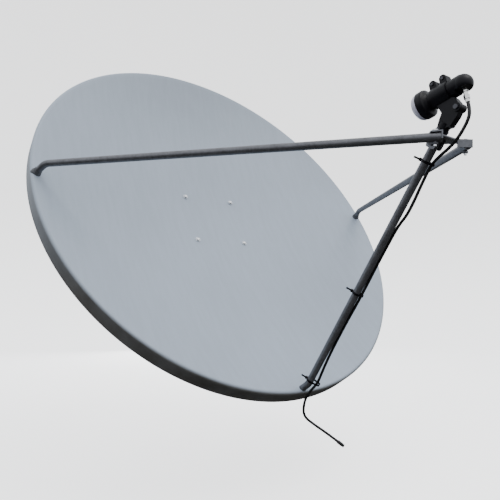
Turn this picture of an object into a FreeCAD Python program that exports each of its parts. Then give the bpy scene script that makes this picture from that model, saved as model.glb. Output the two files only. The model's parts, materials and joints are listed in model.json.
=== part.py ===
import FreeCAD, Part
import math
import os
import Sketcher
from FreeCAD import Placement, Rotation, Vector

# Offset satellite dish: a deep-drawn reflector on an elevation mount for an upright mast, with two
# side struts and a lower boom that hold a converter at the focus.
#
# Row frame: +Z up, the dish looks towards -Y, and the origin is the mast clamp's centre.
# Dish frame: origin at the middle of the rim, X to the right, Y up the face, Z out of the face.
# Feed frame: origin at the focus, Z away from the dish along the feed's axis, Y away from the boom.

SIZES = {
    # reflector
    "dish_width": 1350.0,
    "focal_length": 804.6,
    "aperture_offset": 542.3,
    "sheet_thickness": 1.5,
    "skirt_depth": 60.0,
    "lip_radius": 9.0,
    "face_elevation": 32.07,
    # bolts through the face
    "bolt_spacing_x": 200.0,
    "bolt_spacing_y": 197.0,
    "bolt_centre_y": 26.6,
    "face_bolt_radius": 4.0,
    "face_hole_radius": 4.5,
    # back frame
    "plate_width": 260.0,
    "plate_height": 250.0,
    "plate_thickness": 5.0,
    "plate_face_z": -140.0,
    "cheek_inner_x": 62.0,
    "cheek_thickness": 5.0,
    # elevation pivot, in the dish frame
    "pivot_y": -50.0,
    "pivot_z": -265.0,
    "pivot_radius": 6.0,
    "lock_radius": 5.0,
    # mast bracket, in the row frame
    "flange_outer_x": 61.5,
    "channel_wall": 5.0,
    "channel_height": 180.0,
    "mast_radius": 30.15,
    "jaw_height": 40.0,
    "jaw_offset": 55.0,
    # feed support
    "tube_radius": 9.8,
    "tube_bore": 8.3,
    "foot_x": 657.5,
    "foot_y": 26.2,
    "foot_rise": 42.0,
    "boom_foot_y": -697.0,
    "boom_bend_z": 24.5,
    "boom_length": 730.0,
    # feed
    "neck_radius": 20.0,
    "horn_radius": 33.0,
    "holder_ring_radius": 23.5,
    "lead_radius": 3.7,
}

doc = FreeCAD.newDocument("satellite_dish")
sheet = doc.addObject("Spreadsheet::Sheet", "sheet")


class Size:
    """A number together with the sheet formula that gives it."""

    def __init__(self, value, formula):
        self.value = value
        self.formula = formula

    def join(self, sign, other, value):
        text = other.formula if isinstance(other, Size) else repr(float(other))
        return Size(value, f"({self.formula} {sign} {text})")

    def __add__(self, other):
        return self.join("+", other, self.value + number(other))

    def __sub__(self, other):
        return self.join("-", other, self.value - number(other))

    def __mul__(self, other):
        return self.join("*", other, self.value * number(other))

    def __truediv__(self, other):
        return self.join("/", other, self.value / number(other))

    def __neg__(self):
        return self * -1.0


def number(size):
    return size.value if isinstance(size, Size) else float(size)


def fill_sheet():
    """Writes one row per size, and returns the sizes bound to their cells."""
    bound = {}
    for row, (alias, value) in enumerate(SIZES.items(), start=1):
        sheet.set(f"A{row}", alias)
        sheet.set(f"B{row}", str(value))
        sheet.setAlias(f"B{row}", alias)
        bound[alias] = Size(value, f"sheet.{alias}")
    doc.recompute()
    return bound


size = fill_sheet()
mm = {alias: s.value for alias, s in size.items()}
X, Y, Z = Vector(1, 0, 0), Vector(0, 1, 0), Vector(0, 0, 1)
finished = []


# ---------------------------------------------------------------- frames

FACE_TILT = math.atan(mm["aperture_offset"] / (2 * mm["focal_length"]))
RIM_X = mm["dish_width"] / 2
RIM_Y = RIM_X / math.cos(FACE_TILT)
PIVOT_ROW = Vector(0, -105.0, -30.0)


def dish_frame():
    """Puts the pivot of the dish frame on the pivot of the mast bracket."""
    turn = Rotation(X, 90.0 - mm["face_elevation"])
    pivot = turn.multVec(Vector(0, mm["pivot_y"], mm["pivot_z"]))
    return Placement(PIVOT_ROW - pivot, turn)


def vertex_frame():
    """The paraboloid's own frame, with its vertex at the origin, seen from the dish frame."""
    height = (mm["aperture_offset"] ** 2 + RIM_X**2) / (4 * mm["focal_length"])
    offset = Vector(0, mm["aperture_offset"], height)
    return Placement(offset, Rotation(X, math.degrees(FACE_TILT))).inverse()


DISH = dish_frame()
VERTEX = vertex_frame()
FOCUS = VERTEX.multVec(Vector(0, 0, mm["focal_length"]))


def feed_frame():
    axis = Vector(0, -0.363, 0.932).normalize()
    return DISH * Placement(FOCUS, Rotation(X, axis.cross(X), axis, "ZXY"))


FEED = feed_frame()


def aim(frame, point, direction=Z):
    """A placement in a frame at a point, with its own Z along a direction."""
    return frame * Placement(point, Rotation(Z, direction))


def face_height(x, y, lift=0.0):
    """Z of the reflecting face at a point of the dish frame, or of a copy pushed back."""
    vertex = VERTEX.inverse().multVec(Vector(x, y, 0))
    tilt_sin, tilt_cos, four_f = math.sin(FACE_TILT), math.cos(FACE_TILT), 4 * mm["focal_length"]
    half = vertex.y * tilt_sin + four_f * tilt_cos / 2
    rest = x * x + vertex.y**2 - four_f * (vertex.z + lift)
    return (half - math.sqrt(half**2 - tilt_sin**2 * rest)) / tilt_sin**2


def face_normal(x, y):
    step = 0.5
    slope_x = (face_height(x + step, y) - face_height(x - step, y)) / (2 * step)
    slope_y = (face_height(x, y + step) - face_height(x, y - step)) / (2 * step)
    return Vector(-slope_x, -slope_y, 1).normalize()


def on_face(x, y):
    return Vector(x, y, face_height(x, y))


# ---------------------------------------------------------------- makers


def bind(obj, **sizes):
    """Sets each property, and binds it to the sheet where its size comes from a cell."""
    for name, value in sizes.items():
        setattr(obj, name, number(value))
        if isinstance(value, Size):
            obj.setExpression(name, value.formula)
    return obj


def keep(obj, label, placement=None):
    """Names a finished sub-part, and puts it in its place."""
    obj.Label = label
    if placement is not None:
        obj.Placement = placement
    finished.append(obj)
    return obj


def solid(label, shape, placement=None):
    """A sub-part whose shape is worked out in code."""
    obj = doc.addObject("Part::Feature", label)
    obj.Shape = shape
    return keep(obj, label, placement if placement is not None else Placement())


def cylinder(name, radius, height, placement=None):
    obj = bind(doc.addObject("Part::Cylinder", name), Radius=radius, Height=height)
    obj.Placement = placement or Placement()
    return obj


def prism(name, radius, height, placement=None):
    obj = bind(doc.addObject("Part::Prism", name), Circumradius=radius, Height=height)
    obj.Placement = placement or Placement()
    return obj


def box(name, low, sides):
    obj = bind(doc.addObject("Part::Box", name), Length=sides[0], Width=sides[1], Height=sides[2])
    obj.Placement.Base = Vector(*low)
    return obj


def fuse(name, *pieces):
    obj = doc.addObject("Part::MultiFuse", name)
    obj.Shapes = list(pieces)
    obj.Refine = True
    return obj


def cut(name, base, *tools):
    tool = tools[0] if len(tools) == 1 else fuse(f"{name}_tools", *tools)
    obj = doc.addObject("Part::Cut", name)
    obj.Base = base
    obj.Tool = tool
    return obj


def body(name):
    return doc.addObject("PartDesign::Body", name)


def sketch_on(part, plane, name):
    sketch = part.newObject("Sketcher::SketchObject", name)
    origin_plane = [f for f in part.Origin.OriginFeatures if f.Role == plane][0]
    sketch.AttachmentSupport = [(origin_plane, "")]
    sketch.MapMode = "FlatFace"
    return sketch


def fix(sketch, index, point, x, y):
    """Holds a sketch point at a distance from the sketch's origin along each axis."""
    for kind, value in (("DistanceX", x), ("DistanceY", y)):
        at = sketch.addConstraint(Sketcher.Constraint(kind, -1, 1, index, point, number(value)))
        if isinstance(value, Size):
            sketch.setExpression(f"Constraints[{at}]", value.formula)


def outline(sketch, corners):
    """A closed polygon through corners, each given as its x and y."""
    points = [Vector(number(x), number(y), 0) for x, y in corners]
    lines = []
    for start, end in zip(points, points[1:] + points[:1]):
        lines.append(sketch.addGeometry(Part.LineSegment(start, end)))
    for line, after in zip(lines, lines[1:] + lines[:1]):
        sketch.addConstraint(Sketcher.Constraint("Coincident", line, 2, after, 1))
    for line, (x, y) in zip(lines, corners):
        fix(sketch, line, 1, x, y)


def circles(sketch, radius, centres):
    for x, y in centres:
        circle = Part.Circle(Vector(number(x), number(y), 0), Z, number(radius))
        index = sketch.addGeometry(circle)
        fix(sketch, index, 3, x, y)
        at = sketch.addConstraint(Sketcher.Constraint("Radius", index, number(radius)))
        if isinstance(radius, Size):
            sketch.setExpression(f"Constraints[{at}]", radius.formula)


def plate(name, corners, thickness, corner_radius=0.0, plane="XY_Plane"):
    """A body with one flat plate, whose corners may be rounded."""
    part = body(name)
    sketch = sketch_on(part, plane, f"{name}_outline")
    outline(sketch, corners)
    pad = part.newObject("PartDesign::Pad", f"{name}_pad")
    pad.Profile = sketch
    bind(pad, Length=thickness)
    doc.recompute()
    if corner_radius:
        rounded = part.newObject("PartDesign::Fillet", f"{name}_corners")
        across = [
            f"Edge{i}"
            for i, edge in enumerate(pad.Shape.Edges, start=1)
            if abs(edge.Length - number(thickness)) < 1e-6
        ]
        rounded.Base = (pad, across)
        rounded.Radius = corner_radius
        doc.recompute()
    return part


def pierce(part, name, radius, centres, plane="XY_Plane"):
    """Round holes right through a plate."""
    before = part.Shape.Volume
    sketch = sketch_on(part, plane, f"{name}_holes")
    circles(sketch, radius, centres)
    pocket = part.newObject("PartDesign::Pocket", name)
    pocket.Profile = sketch
    pocket.Type = "ThroughAll"
    pocket.Midplane = True
    doc.recompute()
    assert part.Shape.Volume < before, f"{name} cut nothing"
    return part


def turned(name, corners):
    """A body turned about Z from an outline of radius and height."""
    part = body(name)
    sketch = sketch_on(part, "XZ_Plane", f"{name}_profile")
    outline(sketch, corners)
    lathe = part.newObject("PartDesign::Revolution", f"{name}_turned")
    lathe.Profile = sketch
    lathe.ReferenceAxis = (sketch, ["V_Axis"])
    lathe.Angle = 360.0
    doc.recompute()
    return part


def hex_bolt(name, radius, length, head_radius, head_height):
    """The head is below Z = 0, and the shank above it."""
    head = prism(f"{name}_head", head_radius, head_height, Placement(Vector(0, 0, -head_height), Rotation()))
    return fuse(name, head, cylinder(f"{name}_shank", radius, length))


def hex_nut(name, radius, bore, height):
    return cut(name, prism(f"{name}_body", radius, height), cylinder(f"{name}_thread", bore, height))


def washer(name, radius, bore, height):
    return cut(name, cylinder(f"{name}_disc", radius, height), cylinder(f"{name}_hole", bore, height))


def copies(label, source, places):
    """One node with a separate solid at each place."""
    doc.recompute()
    shapes = []
    for place in places:
        shape = source.Shape.copy()
        shape.Placement = place * shape.Placement
        shapes.append(shape)
    return solid(label, Part.makeCompound(shapes))


def tube_along(points, bend_radius, radius, bore):
    """A bent tube: straight runs joined by tangent arcs."""
    path, _, _ = rounded_path(points, bend_radius)
    direction = (points[1] - points[0]).normalize()
    outer = Part.Wire(Part.Circle(points[0], direction, radius).toShape())
    inner = Part.Wire(Part.Circle(points[0], direction, bore).toShape())
    return path.makePipeShell([outer], True, False).cut(path.makePipeShell([inner], True, False))


def rounded_path(points, bend_radius=None):
    """A wire through points with an arc at each corner, its length, and the arcs' radii.
    Without a radius, each arc takes 0.45 of the shorter run beside it."""
    edges, radii, start = [], [], points[0]
    for before, corner, after in zip(points, points[1:], points[2:]):
        back, ahead = before - corner, after - corner
        turn = math.pi - back.getAngle(ahead)
        reach = 0.45 * min(back.Length, ahead.Length)
        if bend_radius:
            reach = bend_radius * math.tan(turn / 2)
        radius = reach / math.tan(turn / 2)
        radii.append(radius)
        back.normalize()
        ahead.normalize()
        first, last = corner + back * reach, corner + ahead * reach
        inward = (back + ahead).normalize()
        middle = corner + inward * (radius / math.cos(turn / 2) - radius)
        edges.append(Part.LineSegment(start, first).toShape())
        edges.append(Part.Arc(first, middle, last).toShape())
        start = last
    edges.append(Part.LineSegment(start, points[-1]).toShape())
    return Part.Wire(edges), sum(edge.Length for edge in edges), radii


# ---------------------------------------------------------------- reflector


def bowl(push_back):
    """The space in front of the paraboloid, in the dish frame. A paraboloid is a quadratic patch."""
    patch = Part.BezierSurface()
    patch.increase(2, 2)
    four_f = 4 * mm["focal_length"]
    across, up = (-760.0, 760.0), (-250.0, 1320.0)
    for i, (x, x_squared) in enumerate(quadratic_poles(*across), start=1):
        for j, (y, y_squared) in enumerate(quadratic_poles(*up), start=1):
            patch.setPole(i, j, Vector(x, y, (x_squared + y_squared) / four_f))
    space = patch.toShape().extrude(Vector(0, 0, 900))
    space.Placement = VERTEX * Placement(Vector(0, 0, -push_back), Rotation())
    return space


def quadratic_poles(low, high):
    """The three poles of a coordinate and of its square, over a range."""
    return [(low, low * low), ((low + high) / 2, low * high), (high, high * high)]


def blank(inset):
    """All that lies behind the face and within the skirt, set in from both by a distance."""
    front, depth = 30.0, 230.0
    tall, wide = Vector(0, RIM_Y - inset, front), Vector(RIM_X - inset, 0, front)
    ellipse = Part.Ellipse(tall, wide, Vector(0, 0, front))
    block = Part.Face(Part.Wire(ellipse.toShape())).extrude(Vector(0, 0, -depth))
    block = block.cut(bowl(inset)).Solids[0]
    lip = [edge for edge in block.Edges if edge.BoundBox.ZMin > -20]
    return block.makeFillet(mm["lip_radius"] - inset, lip).Solids[0]


BEHIND_FACE = blank(0.0)
BEHIND_SHEET = blank(mm["sheet_thickness"])

FACE_BOLTS = [
    (sx * mm["bolt_spacing_x"] / 2, mm["bolt_centre_y"] + sy * mm["bolt_spacing_y"] / 2)
    for sx in (-1, 1)
    for sy in (-1, 1)
]
STRUT_FOOT = on_face(mm["foot_x"], mm["foot_y"])
STRUT_NORMAL = face_normal(mm["foot_x"], mm["foot_y"])
BOOM_FOOT = on_face(0, mm["boom_foot_y"])


def mirrored(vector):
    return Vector(-vector.x, vector.y, vector.z)


# Each foot: where its axis meets the face, and the axis's direction out of the face.
FEET = [(mirrored(STRUT_FOOT), mirrored(STRUT_NORMAL)), (STRUT_FOOT, STRUT_NORMAL), (BOOM_FOOT, Z)]


def reflector():
    skirt_end = Part.makeBox(2000, 2000, 300, Vector(-1000, -1000, -mm["skirt_depth"] - 300))
    inside = Part.Ellipse(Vector(0, RIM_Y - 60, 0), Vector(RIM_X - 60, 0, 0), Vector())
    inside = Part.Face(Part.Wire(inside.toShape())).extrude(Vector(0, 0, -400))
    shell = BEHIND_FACE.cut(BEHIND_SHEET).cut(skirt_end.cut(inside))
    for x, y in FACE_BOLTS:
        shell = shell.cut(Part.makeCylinder(mm["face_hole_radius"], 60, Vector(x, y, -160), Z))
    for foot, normal in FEET:
        shell = shell.cut(Part.makeCylinder(mm["face_hole_radius"], 40, foot - normal * 20, normal))
    solid("reflector", shell, DISH)


def seat(radius, bore, low, high, place, tool, keep_inside):
    """A ring between two heights, trimmed to lie on one side of the sheet."""
    ring = Part.makeCylinder(radius, high - low, Vector(0, 0, low))
    ring = ring.cut(Part.makeCylinder(bore, high - low, Vector(0, 0, low)))
    ring.Placement = place
    return (ring.common(tool) if keep_inside else ring.cut(tool)).Solids[0]


def face_fasteners():
    """Dome-headed bolts through the face, with washers, spacers behind and nuts on the plate."""
    bore = mm["face_hole_radius"]
    plate_back = mm["plate_face_z"] - mm["plate_thickness"]
    head_gap = 2.2
    bolts, washers, spacers, backs, nuts = [], [], [], [], []
    head = turned("bolt_head", [(0, 0), (7.5, 0), (7.5, 1.2), (6.4, 3.4), (3.6, 4.9), (0, 5.3)])
    shank = cylinder("bolt_shank", size["face_bolt_radius"], 40, Placement(Vector(0, 0, -40), Rotation()))
    bolt = fuse("face_bolt", head, shank)
    nut = hex_nut("plate_nut", 7.5, size["face_bolt_radius"], 6.5)
    ring = washer("plate_washer", 8.5, bore, 1.6)
    for x, y in FACE_BOLTS:
        top = max(face_height(x + dx, y + dy) for dx in (-9, 0, 9) for dy in (-9, 0, 9)) + head_gap
        place = Placement(Vector(x, y, 0), Rotation())
        washers.append(seat(9, bore, top - 12, top, place, BEHIND_FACE, False))
        spacers.append(seat(14, bore, mm["plate_face_z"], top, place, BEHIND_SHEET, True))
        bolts.append(aim(DISH, Vector(x, y, top)))
        backs.append(aim(DISH, Vector(x, y, plate_back - 1.6)))
        nuts.append(aim(DISH, Vector(x, y, plate_back - 1.6 - 6.5)))
    copies("face_bolts", bolt, bolts)
    solid("face_washers", Part.makeCompound(washers), DISH)
    solid("bracket_spacers", Part.makeCompound(spacers), DISH)
    copies("bracket_washers", ring, backs)
    copies("bracket_nuts", nut, nuts)


# ---------------------------------------------------------------- back frame


def back_plate():
    half, low = size["plate_width"] / 2, size["bolt_centre_y"] - size["plate_height"] / 2
    high = size["bolt_centre_y"] + size["plate_height"] / 2
    part = plate(
        "back_plate_body",
        [(-half, low), (half, low), (half, high), (-half, high)],
        size["plate_thickness"],
        corner_radius=18,
    )
    spread, middle = size["bolt_spacing_x"] / 2, size["bolt_centre_y"]
    up = size["bolt_spacing_y"] / 2
    centres = [(x, y) for x in (-spread, spread) for y in (middle - up, middle + up)]
    pierce(part, "plate_bolt_holes", size["face_hole_radius"], centres)
    place = Vector(0, 0, mm["plate_face_z"] - mm["plate_thickness"])
    keep(part, "back_plate", aim(DISH, place))


def cheek_places():
    """The cheeks' own frame: its X runs up the dish, its Y out of the face, its Z along -X."""
    turn = Rotation(Y, Z, X, "XYZ")
    pivot = Vector(0, mm["pivot_y"], mm["pivot_z"])
    for label, x in (
        ("left_cheek", -mm["cheek_inner_x"] - mm["cheek_thickness"]),
        ("right_cheek", mm["cheek_inner_x"]),
    ):
        yield label, DISH * Placement(pivot + Vector(x, 0, 0), turn)


LOCK_OFFSET = Vector(0, 35.0, 95.0)  # from the pivot, in the row frame
SLOT_LOWER, SLOT_RAISE = 30.0, 15.0  # how far the slot lets the dish be lowered and raised, in degrees


def cheeks():
    """Side plates that turn on the pivot, each with a slot on an arc around it."""
    to_plate = mm["plate_face_z"] - mm["plate_thickness"] - mm["pivot_z"]
    corners = [
        (-34, to_plate), (-34, 40), (-22, -18), (0, -26), (24, -18), (84, -66), (116, -58),
        (134, -10), (142, to_plate),
    ]
    lock = DISH.Rotation.inverted().multVec(LOCK_OFFSET)
    radius, middle = LOCK_OFFSET.Length, math.atan2(lock.z, lock.y)
    for label, place in cheek_places():
        part = plate(f"{label}_body", corners, size["cheek_thickness"], corner_radius=9)
        pierce(part, f"{label}_pivot", size["pivot_radius"] + 0.05, [(0, 0)])
        sketch = sketch_on(part, "XY_Plane", f"{label}_slot_outline")
        low, high = middle - math.radians(SLOT_LOWER), middle + math.radians(SLOT_RAISE)
        arc_slot(sketch, radius, low, high)
        pocket = part.newObject("PartDesign::Pocket", f"{label}_slot")
        pocket.Profile = sketch
        pocket.Type = "ThroughAll"
        pocket.Midplane = True
        doc.recompute()
        keep(part, label, place)


def arc_slot(sketch, radius, low, high):
    """A slot with round ends along an arc about the sketch's origin."""
    half = mm["lock_radius"] + 0.5

    def point(r, angle):
        return Vector(r * math.cos(angle), r * math.sin(angle), 0)

    def cap(angle, start, end):
        circle = Part.Circle(point(radius, angle), Z, half)
        return Part.ArcOfCircle(circle, start, end)

    sketch.addGeometry(Part.ArcOfCircle(Part.Circle(Vector(), Z, radius + half), low, high))
    sketch.addGeometry(Part.ArcOfCircle(Part.Circle(Vector(), Z, radius - half), low, high))
    sketch.addGeometry(cap(high, high, high + math.pi))
    sketch.addGeometry(cap(low, low - math.pi, low))


# ---------------------------------------------------------------- mast mount


def mast_channel():
    """A channel around the pivot: a web in front of the mast, and a flange on each side."""
    outer, wall = mm["flange_outer_x"], mm["channel_wall"]
    web_back = -mm["mast_radius"] - 8.0
    corners = [(-28, -26), (0, -30), (20, -22), (web_back - PIVOT_ROW.y, -60), (web_back - PIVOT_ROW.y, 120),
               (14, 120), (-8, 96), (-28, 30)]
    pieces = []
    for x in (-outer, outer - wall):
        part = plate(f"flange_{'left' if x < 0 else 'right'}", corners, wall, corner_radius=6)
        pierce(part, f"flange_pivot_{len(pieces)}", size["pivot_radius"] + 0.05, [(0, 0)])
        lock_at = [(LOCK_OFFSET.y, LOCK_OFFSET.z)]
        pierce(part, f"flange_lock_{len(pieces)}", size["lock_radius"] + 0.2, lock_at)
        part.Placement = Placement(PIVOT_ROW + Vector(x, 0, 0), Rotation(Y, Z, X, "XYZ"))
        pieces.append(part)
    web = box("web", (-outer, web_back - wall, -90), (outer * 2, wall, size["channel_height"]))
    bores = []
    for z in (-mm["jaw_offset"], mm["jaw_offset"]):
        for x in (-CLAMP_BOLT_X, CLAMP_BOLT_X):
            place = Placement(Vector(x, web_back - wall - 5, z), Rotation(Z, Y))
            bores.append(cylinder("clamp_hole", CLAMP_BOLT_RADIUS + 0.4, 20, place))
    channel = cut("channel", fuse("channel_blank", web, *pieces), *bores)
    keep(channel, "mast_channel")


CLAMP_BOLT_X = 42.0
CLAMP_BOLT_RADIUS = 5.0
JAW_BORE = 30.2


def elevation_bolts():
    """The pivot bolt right across, and a short bolt in each slot."""
    outside = mm["cheek_inner_x"] + mm["cheek_thickness"]
    gap, ring = 0.2, 2.5
    head_at = outside + gap + ring
    pivot = PIVOT_ROW
    bolt = hex_bolt("pivot_blank", size["pivot_radius"], 2 * head_at + 14, 10.5, 7.5)
    doc.recompute()
    solid("pivot_bolt", bolt.Shape, Placement(pivot + Vector(-head_at, 0, 0), Rotation(Z, X)))
    inside = mm["flange_outer_x"] - mm["channel_wall"]
    sleeve = washer("sleeve", 10, mm["pivot_radius"] + 0.3, 2 * inside)
    keep(sleeve, "pivot_sleeve", Placement(pivot - Vector(inside, 0, 0), Rotation(Z, X)))
    disc = washer("pivot_washer", 12, mm["pivot_radius"] + 0.3, ring)
    copies(
        "pivot_washers",
        disc,
        [Placement(pivot + Vector(x, 0, 0), Rotation(Z, X)) for x in (-head_at, head_at - ring)],
    )
    nut = hex_nut("pivot_nut_blank", 10.5, size["pivot_radius"], 10)
    copies("pivot_nut", nut, [Placement(pivot + Vector(head_at, 0, 0), Rotation(Z, X))])

    short = hex_bolt("lock_blank", size["lock_radius"], head_at - inside + 12, 9.2, 6.4)
    lock_ring = washer("lock_washer", 11, mm["lock_radius"] + 0.3, ring)
    lock_nut = hex_nut("lock_nut", 9.2, size["lock_radius"], 8)
    heads, rings, nuts = [], [], []
    for side in (-1, 1):
        inward = Rotation(Z, Vector(-side, 0, 0))
        at = pivot + LOCK_OFFSET
        heads.append(Placement(at + Vector(side * head_at, 0, 0), inward))
        rings.append(Placement(at + Vector(side * head_at, 0, 0), inward))
        nuts.append(Placement(at + Vector(side * inside, 0, 0), inward))
    copies("lock_bolts", short, heads)
    copies("lock_washers", lock_ring, rings)
    copies("lock_nuts", lock_nut, nuts)


def mast_clamp():
    """Two pairs of half-round jaws that grip the mast, each drawn together by two bolts."""
    web_back = -mm["mast_radius"] - 8.0
    height = mm["jaw_height"]
    front = Part.makeBox(110, 30, height, Vector(-55, web_back, -height / 2))
    strap = Part.makeCylinder(JAW_BORE + 5, height, Vector(0, 0, -height / 2))
    strap = strap.fuse(Part.makeBox(110, 9, height, Vector(-55, 3, -height / 2)))
    strap = strap.common(Part.makeBox(200, 100, height, Vector(-100, 3, -height / 2))).removeSplitter()
    bore = Part.makeCylinder(JAW_BORE, height, Vector(0, 0, -height / 2))
    front, strap = front.cut(bore), strap.cut(bore)
    front = front.cut(Part.makeBox(200, 40, height, Vector(-100, -3, -height / 2)))
    for x in (-CLAMP_BOLT_X, CLAMP_BOLT_X):
        hole = Part.makeCylinder(CLAMP_BOLT_RADIUS + 0.4, 90, Vector(x, -60, 0), Y)
        front, strap = front.cut(hole), strap.cut(hole)
    front = soften(front, height, 3.0)
    strap = soften(strap, height, 2.0)
    levels = [Placement(Vector(0, 0, z), Rotation()) for z in (-mm["jaw_offset"], mm["jaw_offset"])]
    for label, shape in (("clamp_jaws", front), ("clamp_straps", strap)):
        pair = []
        for level in levels:
            one = shape.copy()
            one.Placement = level
            pair.append(one)
        solid(label, Part.makeCompound(pair))
    bolt = hex_bolt("clamp_bolt", CLAMP_BOLT_RADIUS, 72, 9.2, 6.4)
    nut = hex_nut("clamp_nut", 9.2, CLAMP_BOLT_RADIUS, 8)
    ring = washer("clamp_washer", 8.6, CLAMP_BOLT_RADIUS + 0.3, 2)
    start = web_back - mm["channel_wall"]
    heads, nuts, rings = [], [], []
    for level in levels:
        for x in (-CLAMP_BOLT_X, CLAMP_BOLT_X):
            heads.append(Placement(level.Base + Vector(x, start, 0), Rotation(Z, Y)))
            rings.append(Placement(level.Base + Vector(x, 12, 0), Rotation(Z, Y)))
            nuts.append(Placement(level.Base + Vector(x, 14, 0), Rotation(Z, Y)))
    copies("clamp_bolts", bolt, heads)
    copies("clamp_washers", ring, rings)
    copies("clamp_nuts", nut, nuts)


def soften(shape, height, radius):
    """Rounds the outer upright corners."""
    upright = [
        e for e in shape.Edges
        if abs(e.Length - height) < 1e-6 and abs(e.CenterOfMass.x) > 50
    ]
    return shape.makeFillet(radius, upright)


# ---------------------------------------------------------------- feed support

BOOM_TOP = Vector(0, -434.2, 687.8)
BOOM_BEND = Vector(0, mm["boom_foot_y"], mm["boom_bend_z"])
BOOM_AXIS = (BOOM_TOP - BOOM_BEND).normalize()
STRUT_TOP = Vector(49.8, -461.5, 734.0)
FOOT_FLOOR = 3.0  # thickness of a foot below its tube's end
STRUT_BEND = STRUT_FOOT + STRUT_NORMAL * mm["foot_rise"]
STRUT_AXIS = (STRUT_TOP - STRUT_BEND).normalize()
BOLT_BACK = 12.0  # from a strut's end to its bolt

# The cross bracket lies on both struts: its plane holds X and their common direction.
BRACKET_Y = Vector(0, STRUT_AXIS.y, STRUT_AXIS.z).normalize()
BRACKET_Z = X.cross(BRACKET_Y) * -1
BRACKET_TURN = Rotation(X * -1, BRACKET_Y, BRACKET_Z, "ZXY")


def struts():
    hole_at = STRUT_TOP - STRUT_AXIS * BOLT_BACK
    points = [STRUT_FOOT + STRUT_NORMAL * FOOT_FLOOR, STRUT_BEND, STRUT_TOP]
    for label, flip in (("left_strut", mirrored), ("right_strut", Vector)):
        tube = tube_along([flip(p) for p in points], 45.0, mm["tube_radius"], mm["tube_bore"])
        hole = Part.makeCylinder(3.3, 60, flip(hole_at) - BRACKET_Z * 30, BRACKET_Z)
        solid(label, tube.cut(hole), DISH)


def feet():
    """A flared collar for each strut, a plug for the boom, and their inserts and bolts."""
    bore, tube = mm["face_hole_radius"], mm["tube_radius"]
    collar = [(bore, -7), (14.5, -7), (14.2, 1.6), (12.6, 4.4), (11.6, 10), (tube + 0.1, 10),
              (tube + 0.1, FOOT_FLOOR), (bore, FOOT_FLOOR)]
    flared = turned("foot_collar", collar)
    shapes = []
    for foot, normal in FEET[:2]:
        shape = flared.Shape.copy()
        shape.Placement = aim(Placement(), foot, normal)
        shapes.append(shape.cut(BEHIND_FACE))
    solid("strut_feet", Part.makeCompound(shapes), DISH)

    base, _ = FEET[2]
    place = Placement(base, Rotation())
    solid("boom_foot", seat(tube + 0.2, bore, -14, BOOM_FOOT_FLOOR, place, BEHIND_FACE, False), DISH)

    insert = washer("insert", size["tube_bore"] - 0.05, 4, 20)
    bolt = hex_bolt("foot_bolt_blank", 4, 34, 7.2, 5.2)
    plugs, bolts, pads = [], [], []
    for (foot, normal), floor in zip(FEET, (FOOT_FLOOR, FOOT_FLOOR, BOOM_FOOT_FLOOR)):
        plugs.append(aim(DISH, foot + normal * (floor + 0.2), normal))
        back = -6.0 if normal.x else -11.0
        bolts.append(aim(DISH, foot + normal * back, normal))
        pads.append(seat(8, 4.5, back, 6, aim(Placement(), foot, normal), BEHIND_SHEET, True))
    copies("foot_plugs", insert, plugs)
    copies("foot_bolts", bolt, bolts)
    solid("foot_washers", Part.makeCompound(pads), DISH)


BOOM_FOOT_FLOOR = 4.5
BOOM_TOP_END = 46.0  # how far the boom runs on past the bracket


def boom():
    end = BOOM_TOP + BOOM_AXIS * BOOM_TOP_END
    start = BOOM_FOOT + Z * BOOM_FOOT_FLOOR
    tube = tube_along([start, BOOM_BEND, end], 40.0, mm["tube_radius"], mm["tube_bore"])
    for at in (BOOM_BOLT_AT, HOLDER_BOLT_AT):
        tube = tube.cut(Part.makeCylinder(3.3, 60, BOOM_TOP + BOOM_AXIS * at - X * 30, X))
    solid("feed_boom", tube, DISH)


BOOM_BOLT_AT = 9.0
HOLDER_BOLT_AT = 40.0
BRACKET_WALL = 3.0
LIP_GAP, LIP_IN, LIP_OUT = 0.5, 24.0, 9.8  # ahead of a strut's end, and to each side of its axis


def bracket_place():
    """The bracket's frame: its XY plane lies on the struts' upper sides at their ends."""
    base = Vector(0, STRUT_TOP.y, STRUT_TOP.z) + BRACKET_Z * (mm["tube_radius"] + 0.05)
    return DISH * Placement(base, BRACKET_TURN)


def strut_end(side, back, across):
    """A point of the bracket's plane, measured back along a strut from its end, and outwards."""
    along = BRACKET_TURN.inverted().multVec(STRUT_AXIS)
    run, spread = along.y, abs(along.x)
    return (side * (STRUT_TOP.x + spread * back + run * across), spread * across - run * back)


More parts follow.
